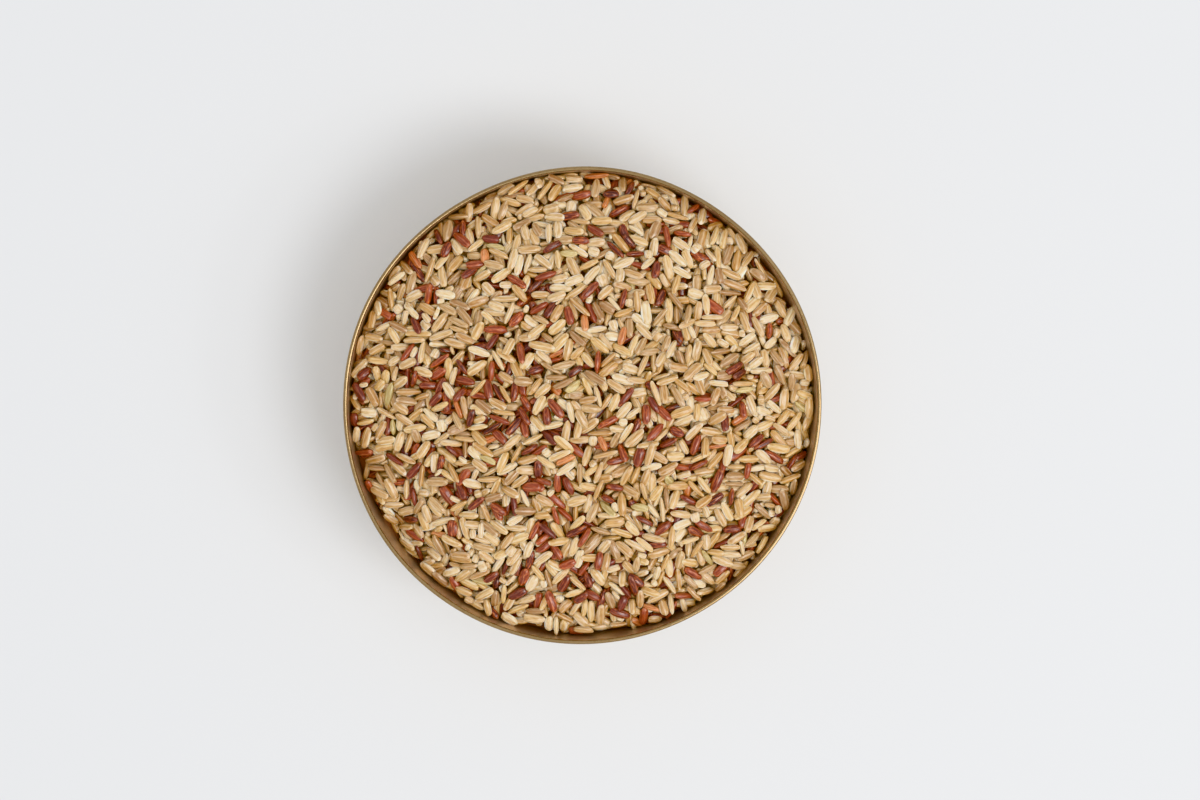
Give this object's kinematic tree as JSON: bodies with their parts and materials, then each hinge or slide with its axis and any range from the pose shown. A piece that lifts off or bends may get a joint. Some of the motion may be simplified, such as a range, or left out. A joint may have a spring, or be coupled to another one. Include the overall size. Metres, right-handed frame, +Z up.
{
  "type": "bowl of semi-polished rice",
  "caption": "Round plain brass bowl filled with a low heap of uncooked, partly milled rice, tan grains mixed with red-brown ones.",
  "frame": {"origin": "centre of the bowl's flat base, on the surface it stands on", "axes": "+Z up, along the axis the bowl is turned about; +X to the right and +Y away from the viewer"},
  "size_m": [0.1399, 0.1402, 0.0566],
  "materials": {
    "brass": "satin",
    "rice": "satin",
    "red_rice": "satin"
  },
  "bodies": {
    "root": {"bowl": "brass", "rice_heap": "rice"}
  },
  "joints": []
}
